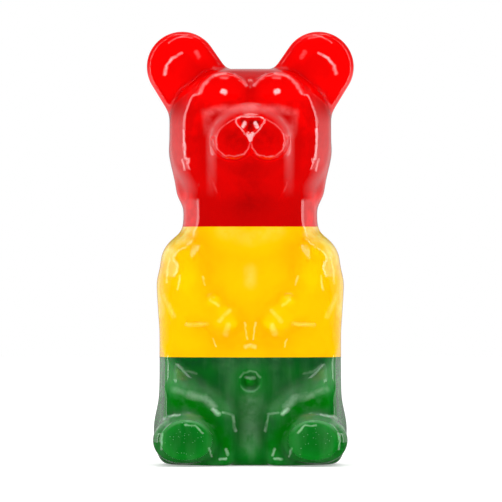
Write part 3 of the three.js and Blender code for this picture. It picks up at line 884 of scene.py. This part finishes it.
class GUMMY_OT_cast_bear(bpy.types.Operator):
    """Cast the bear as one closed skin over three layers of gel"""

    bl_idname = "gummy.cast_bear"
    bl_label = "Cast the Bear"

    def execute(self, context):
        form, look = context.scene.gummy_form, context.scene.gummy_look
        shape = BearShape(form)
        mesh = self.skin(form, shape)
        places = vertex_places(mesh)
        normals = slope_of(shape, places)
        normals /= np.linalg.norm(normals, axis=1)[:, None]
        for name, values in zip(SHARES, self.shares(shape, places, normals)):
            layer = mesh.attributes.new(name, "FLOAT", "POINT")
            layer.data.foreach_set("value", values.astype(np.float32))

        middle = (places.min(axis=0) + places.max(axis=0)) / 2
        middle[2] = 0
        mesh.vertices.foreach_set("co", ((places - middle) * MM).astype(np.float32).ravel())
        self.pour_gels(mesh, form, look)
        mesh.polygons.foreach_set("use_smooth", np.ones(len(mesh.polygons), dtype=bool))
        mesh.update()
        mesh.normals_split_custom_set_from_vertices(normals)
        bear = shown("gummy_bear", mesh)
        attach(bear, BODY)
        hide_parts(*LAYER_NODES)
        return {"FINISHED"}

    @staticmethod
    def skin(form, shape):
        """The closed skin, in millimetres, with loops of edges where the gels meet."""
        cell = form.cell / MM
        half_width = math.ceil(62 / cell) * cell
        low = (-half_width, -60, -3 * cell)
        high = (half_width, 60, form.height / MM + 3 * cell)
        points, faces = surface_of(shape, low, high, cell)
        points = settle(shape, points, cell / 4)
        triangles = triangles_of(points, faces)
        for fine in (FINE_PLACES, FINEST_PLACES):
            points, triangles = halve_edges(points, triangles, fine)
            points = settle(shape, points, cell / 8, 3)
        mesh = mesh_from("gummy_bear", points, triangles)
        cut_at(mesh, (form.red_from / MM, form.yellow_from / MM))
        return mesh

    @staticmethod
    def shares(shape, places, normals):
        """How thin the form is at each point, how deep in a crease, how far it faces up near an
        edge, where a painted pale sheen goes, how much painted sheen lies round the muzzle, and how
        near it is to a sole's middle."""
        x, y, z = places.T
        behind, near, before = 20, 7, 5
        thin = np.clip(1 + shape(*(places - behind * normals).T) / behind, 0, 1)
        crease = np.clip(1 - shape(*(places + before * normals).T) / before, 0, 1)
        edge = np.clip(1 + shape(*(places - near * normals).T) / near, 0, 1)
        # Faces that look up near an edge get a painted pale sheen, a painted reflection.
        upward_sheen = np.clip((1.4 * normals[:, 2] - 0.3) * (0.45 + 2 * edge), 0, 1)
        # The painted sheen round the muzzle, a painted reflection, lies on the muzzle's slope, in front
        # and below the brows, and grows from the throat up.
        off_slope = abs(shape.muzzle_reach(x, z) - 21.5)
        muzzle_sheen = np.clip(1.25 - off_slope / 2.7, 0, 1) * np.clip((z - 148) / 26, 0, 1)
        muzzle_sheen *= (y < -18) * (z < 203)
        # The soles count only where they face forward.
        from_sole = np.hypot((abs(x) - shape.sole[0]) / 12, (z - 15.5) / 8.5)
        sole = np.clip(1.25 - from_sole, 0, 1) * (y < -45) * (normals[:, 1] < -0.8)
        return thin, crease, upward_sheen, muzzle_sheen, sole

    @staticmethod
    def pour_gels(mesh, form, look):
        """Gives the mesh its three gels, each from its own height up."""
        red_reach, yellow_reach, green_reach = (1.0, 0.12, 0.1), (1.0, 0.8, 0.1), (0.15, 1.0, 0.25)
        # Each gel: its name, its colour, a brighter colour painted on thin parts as a painted glow, a
        # colour painted into creases as painted shade (a lighter red in the red gel, to lift the shade),
        # its reach and depth of scattering, the strength of its milky haze and painted sheen, and its
        # tables of marks with their colours: painted light, painted shade and painted highlights.
        for gel in (
            ("red_gelatine_gel", look.red, "#ff0000", "#e80000", red_reach, 0.018, 0.0,
             ((RED_PAINTED_LIGHT, "#ff0000"), (RED_PAINTED_SHADE, "#7a0000"), (RED_PAINTED_HIGHLIGHTS, "#ffc4c4"))),
            ("yellow_gelatine_gel", look.yellow, "#ffba00", "#ffc000", yellow_reach, 0.03, 0.0,
             ((YELLOW_PAINTED_HIGHLIGHTS, "#fff290"),)),
            ("green_gelatine_gel", look.green, "#0c8224", "#005a04", green_reach, 0.018, 0.34,
             ((GREEN_PAINTED_SHADE, "#0c4420"), (GREEN_PAINTED_LIGHT, "#006e06"), (GREEN_PAINTED_HIGHLIGHTS, "#c8e8cc"))),
        ):
            mesh.materials.append(gel_material(*gel))
        heights = np.array([p.center.z for p in mesh.polygons])
        slots = np.where(heights > form.red_from, 0, np.where(heights > form.yellow_from, 1, 2))
        mesh.polygons.foreach_set("material_index", slots.astype(np.int32))


class GUMMY_OT_scatter_air(bpy.types.Operator):
    """Scatter the fine air bubbles in the skin of the soles"""

    bl_idname = "gummy.scatter_air"
    bl_label = "Scatter the Air Specks"

    def execute(self, context):
        air = context.scene.gummy_air
        bear = bpy.data.objects["gummy_bear"]
        tree, sockets = self.scatter_tree()
        scatter = bear.modifiers.new("air specks", "NODES")
        scatter.node_group = tree
        scatter[sockets["Radius"]] = air.radius
        scatter[sockets["Density"]] = air.density
        scatter[sockets["Seed"]] = air.seed
        evaluated = bear.evaluated_get(context.evaluated_depsgraph_get())
        mesh = bpy.data.meshes.new_from_object(evaluated)
        bear.modifiers.remove(scatter)
        if not mesh.polygons:
            raise RuntimeError("the scatter made no specks")
        mesh.name = "air_specks"
        for name in [name for name in SHARES if name in mesh.attributes]:
            mesh.attributes.remove(mesh.attributes[name])
        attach(shown("air_specks", mesh), BODY)
        return {"FINISHED"}

    def scatter_tree(self):
        """The tree that turns the bear into its specks, and the identifiers of its inputs."""
        tree = bpy.data.node_groups.new("air specks", "GeometryNodeTree")
        tree.interface.new_socket("Geometry", in_out="INPUT", socket_type="NodeSocketGeometry")
        sockets = {}
        for name, kind in (("Radius", "Float"), ("Density", "Float"), ("Seed", "Int")):
            sockets[name] = tree.interface.new_socket(
                name, in_out="INPUT", socket_type="NodeSocket" + kind
            ).identifier
        tree.interface.new_socket("Geometry", in_out="OUTPUT", socket_type="NodeSocketGeometry")
        given = add_node(tree, "NodeGroupInput")
        sole = add_node(
            tree, "GeometryNodeInputNamedAttribute", {"Name": "sole"}, data_type="FLOAT"
        )["Attribute"]
        density = add_node(tree, "ShaderNodeMath", {0: sole, 1: given["Density"]}, operation="MULTIPLY")[0]
        spread = add_node(
            tree, "GeometryNodeDistributePointsOnFaces",
            {"Mesh": given["Geometry"], "Density": density, "Seed": given["Seed"]},
        )["Points"]
        ball = add_node(
            tree, "GeometryNodeMeshIcoSphere", {"Radius": given["Radius"], "Subdivisions": 1}
        )["Mesh"]
        scale = add_node(
            tree, "FunctionNodeRandomValue", {2: 0.35, 3: 1.0, "Seed": given["Seed"]}, data_type="FLOAT"
        )[1]
        placed = add_node(
            tree, "GeometryNodeInstanceOnPoints", {"Points": spread, "Instance": ball, "Scale": scale}
        )[0]
        real = add_node(tree, "GeometryNodeRealizeInstances", {"Geometry": placed})[0]
        dressed = add_node(tree, "GeometryNodeSetMaterial", {"Geometry": real, "Material": self.film()})[0]
        add_node(tree, "NodeGroupOutput", {"Geometry": dressed})
        return tree, sockets

    @staticmethod
    def film():
        """Gel film over a bubble of air: the bubble turns the light back, so it reads as a pale dot."""
        material, tree = empty_material("gel_film_over_air")
        place = add_node(tree, "ShaderNodeTexCoord")["Object"]
        change = add_node(
            tree, "ShaderNodeTexNoise", {"Vector": place, "Scale": 1 / 0.002, "Detail": 1.0}
        )["Fac"]
        colour = add_node(
            tree, "ShaderNodeMix",
            {0: change, 6: (*linear("#3f8f4c"), 1), 7: (*linear("#8fc79b"), 1)}, data_type="RGBA",
        )[2]
        shader = add_node(
            tree, "ShaderNodeBsdfPrincipled", {"Base Color": colour, "Roughness": 0.1, "IOR": 1.45}
        )[0]
        add_node(tree, "ShaderNodeOutputMaterial", {"Surface": shader})
        return material


class GUMMY_OT_set_stage(bpy.types.Operator):
    """Set the pale floor, the soft white studio and the camera"""

    bl_idname = "gummy.set_stage"
    bl_label = "Set the Stage"

    def execute(self, context):
        studio = context.scene.gummy_studio
        self.lay_floor()
        self.light_room(context)
        self.hang_lamp("front_fill", (0, -1.6, 0.35))
        self.hang_lamp("overhead", (0, -0.2, 1.6))
        for x in (-0.15, 0.15):
            self.stand_card("side_card", (x, 0.02, 0), (x, 0.6, 0.5), 2.2, 0.06, 0.08)
            self.stand_card("side_strip", (x, 0.002, 0), (x, 0.018, 0.5), 4.5, 1.0, 1.0)
        for name, half, front, back, strength, fall in (
            ("back_card", 0.12, 0.08, 0.5, 0.3, 0.3),
            ("back_strip", 0.15, 0.05, 0.08, 5, 1.0),
            ("front_card", 0.06, -0.09, 0.02, 0.8, 0.3),
            ("front_strip", 0.06, -0.16, -0.09, 3, 1.0),
        ):
            self.stand_card(name, (-half, front, 0.5), (half, back, 0.5), strength, fall, 1.0)
        aim_x, aim_z = 0.0004, 0.1187
        data = bpy.data.cameras.new("camera")
        data.sensor_width = 36
        data.lens = data.sensor_width * studio.distance / studio.field
        camera = shown("camera", data)
        camera.location = (aim_x, -studio.distance, aim_z)
        camera.rotation_euler = (math.pi / 2, 0, 0)
        context.scene.camera = camera
        context.scene.view_settings.view_transform = "Standard"
        return {"FINISHED"}

    @staticmethod
    def lay_floor():
        """White studio paper: matt, and a little aglow so that it stays as pale as the room."""
        half, below = 5.0, 0.0002
        mesh = bpy.data.meshes.new("floor")
        mesh.from_pydata(
            [(-half, -half, 0), (half, -half, 0), (half, half, 0), (-half, half, 0)], [], [(0, 1, 2, 3)]
        )
        material, tree = empty_material("white_studio_paper")
        shader = add_node(
            tree, "ShaderNodeBsdfPrincipled",
            {"Base Color": (*linear("#f6f6f6"), 1), "Roughness": 0.9, "Specular IOR Level": 0.0,
             "Emission Color": (1, 1, 1, 1), "Emission Strength": 0.35},
        )[0]
        add_node(tree, "ShaderNodeOutputMaterial", {"Surface": shader})
        mesh.materials.append(material)
        floor = shown("floor", mesh)
        floor.location.z = -below
        floor.visible_glossy = False
        floor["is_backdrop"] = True

    @staticmethod
    def light_room(context):
        """A white room that lights the bear evenly; the bear mirrors only the wall behind it."""
        world = bpy.data.worlds.new("white studio")
        context.scene.world = world
        world.use_nodes = True
        tree = world.node_tree
        tree.nodes.clear()
        seen = add_node(tree, "ShaderNodeLightPath")
        looking = add_node(tree, "ShaderNodeTexCoord")["Generated"]
        room_light, back_and_up = 0.8, (0, 0.94, 0.34)
        nearness = add_node(
            tree, "ShaderNodeVectorMath", {0: looking, 1: back_and_up}, operation="DOT_PRODUCT"
        )["Value"]
        mirrored = add_node(
            tree, "ShaderNodeMapRange",
            {"Value": nearness, "From Min": 0.78, "From Max": 0.96, "To Min": 0.04, "To Max": 0.5},
        )[0]
        given_off = add_node(
            tree, "ShaderNodeMath", {0: seen["Is Diffuse Ray"], 1: room_light, 2: mirrored},
            operation="MULTIPLY_ADD",
        )[0]
        level = add_node(
            tree, "ShaderNodeMath", {0: seen["Is Camera Ray"], 1: given_off}, operation="MAXIMUM"
        )[0]
        white = add_node(tree, "ShaderNodeBackground", {"Color": (1, 1, 1, 1), "Strength": level})[0]
        add_node(tree, "ShaderNodeOutputWorld", {"Surface": white})
        world.cycles.sampling_method = "NONE"

    @staticmethod
    def stand_card(name, low, high, strength, fall, aloft):
        """A glowing white card that only mirrors in glossy skins.

        It dims over the length fall to the back, by the factor aloft from the mouth up, and a little
        near the floor. Beside the yellow layer its front edge fades out softly.
        """
        mouth, above_ears, yellow_middle = 0.17, 0.25, 0.096
        (x0, y0, z0), (x1, y1, z1) = low, high
        mesh = bpy.data.meshes.new(name)
        mesh.from_pydata([(x0, y0, z0), (x1, y0, z1), (x1, y1, z1), (x0, y1, z0)], [], [(0, 1, 2, 3)])
        material, tree = empty_material("lit_white_card")
        place = add_node(tree, "ShaderNodeTexCoord")["Object"]
        along = add_node(tree, "ShaderNodeSeparateXYZ", {0: place})
        lengths = add_node(
            tree, "ShaderNodeMath", {0: along["Y"], 1: 1 / fall, 2: 1.0}, operation="MULTIPLY_ADD"
        )[0]
        from_head = add_node(
            tree, "ShaderNodeMapRange",
            {"Value": along["Z"], "From Min": mouth, "From Max": above_ears, "To Min": 1.0,
             "To Max": aloft},
            interpolation_type="SMOOTHSTEP",
        )[0]
        from_floor = add_node(
            tree, "ShaderNodeMapRange",
            {"Value": along["Z"], "From Min": 0.03, "From Max": 0.08, "To Min": 0.6 * strength,
             "To Max": strength},
        )[0]
        above_yellow = add_node(
            tree, "ShaderNodeMath", {0: along["Z"], 1: yellow_middle}, operation="SUBTRACT"
        )[0]
        off_yellow = add_node(tree, "ShaderNodeMath", {0: above_yellow}, operation="ABSOLUTE")[0]
        beyond = add_node(
            tree, "ShaderNodeMapRange", {"Value": off_yellow, "From Min": 0.03, "From Max": 0.042},
            interpolation_type="SMOOTHSTEP",
        )[0]
        inward = add_node(
            tree, "ShaderNodeMapRange",
            {"Value": along["Y"], "From Min": 0.01, "From Max": 0.2, "To Max": 1.6},
        )[0]
        kept = add_node(tree, "ShaderNodeMath", {0: inward, 1: beyond}, operation="MAXIMUM")[0]
        glow = from_head
        for factor, operation in ((from_floor, "MULTIPLY"), (kept, "MULTIPLY"), (lengths, "DIVIDE")):
            glow = add_node(tree, "ShaderNodeMath", {0: glow, 1: factor}, operation=operation)[0]
        emission = add_node(tree, "ShaderNodeEmission", {"Strength": glow})[0]
        add_node(tree, "ShaderNodeOutputMaterial", {"Surface": emission})
        mesh.materials.append(material)
        card = shown(name, mesh)
        card.visible_camera = card.visible_diffuse = card.visible_shadow = False
        card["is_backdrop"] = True

    @staticmethod
    def hang_lamp(name, place):
        """A soft round lamp that shines on the bear but doesn't mirror in its skin."""
        data = bpy.data.lights.new(name, "AREA")
        data.shape = "DISK"
        data.size = 1.4
        data.energy = 7
        lamp = shown(name, data)
        lamp.location = place
        target = Vector((0, 0, 0.12))
        aim = target - lamp.location
        lamp.rotation_euler = aim.to_track_quat("-Z", "Y").to_euler()
        lamp.visible_glossy = False


class GUMMY_PT_sidebar(bpy.types.Panel):
    """The bear's settings and steps"""

    bl_label = "Gummy Bear"
    bl_idname = "GUMMY_PT_sidebar"
    bl_space_type = "VIEW_3D"
    bl_region_type = "UI"
    bl_category = "Gummy Bear"

    def draw(self, context):
        for setting, group in SETTINGS.items():
            box = self.layout.box()
            for name in group.__annotations__:
                box.prop(getattr(context.scene, setting), name)
        for operator in OPERATORS:
            self.layout.operator(operator.bl_idname)


OPERATORS = (GUMMY_OT_cast_bear, GUMMY_OT_scatter_air, GUMMY_OT_set_stage)
SETTINGS = {
    "gummy_form": BearForm,
    "gummy_look": GelLook,
    "gummy_air": AirSpecks,
    "gummy_studio": Studio,
}
CLASSES = (*SETTINGS.values(), *OPERATORS, GUMMY_PT_sidebar)


def register():
    for cls in CLASSES:
        bpy.utils.register_class(cls)
    for name, group in SETTINGS.items():
        setattr(bpy.types.Scene, name, PointerProperty(type=group))


def unregister():
    for name in SETTINGS:
        delattr(bpy.types.Scene, name)
    for cls in reversed(CLASSES):
        bpy.utils.unregister_class(cls)


def main():
    register()
    bpy.ops.gummy.cast_bear()
    bpy.ops.gummy.scatter_air()
    bpy.ops.gummy.set_stage()
    boxes = {"cad": CAD_BOX, "visual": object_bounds()}
    {name: [list(corner) for corner in box] for name, box in boxes.items()}


if __name__ == "__main__":
    main()
